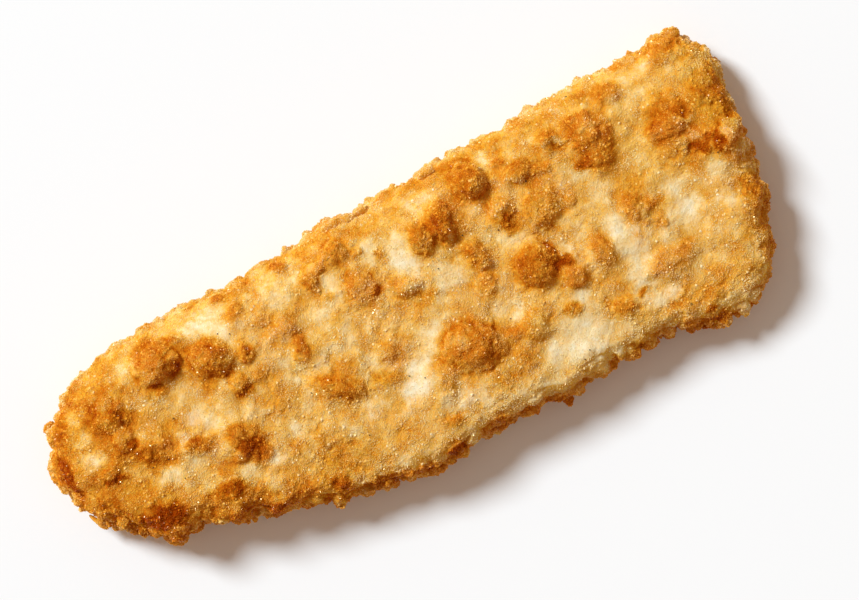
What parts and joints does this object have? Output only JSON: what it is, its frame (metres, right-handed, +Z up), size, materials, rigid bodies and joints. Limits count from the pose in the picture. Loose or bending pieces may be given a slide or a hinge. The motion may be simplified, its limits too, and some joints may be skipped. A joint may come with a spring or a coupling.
{
  "type": "fried fish fillet",
  "caption": "Long tapered breaded and fried fish fillet with a blunt wide end and a golden crumb crust, lying flat.",
  "frame": {"origin": "under the middle of the fillet, in the plane of its flat underside", "axes": "+X along the fillet towards its wide end, +Y across it towards the gently sloping long side, +Z up"},
  "size_m": [0.165, 0.061, 0.0181],
  "materials": {
    "crumb_crust": "golden brown fried breadcrumbs, slightly oily"
  },
  "bodies": {
    "root": {"fillet": "crumb_crust"}
  },
  "joints": []
}
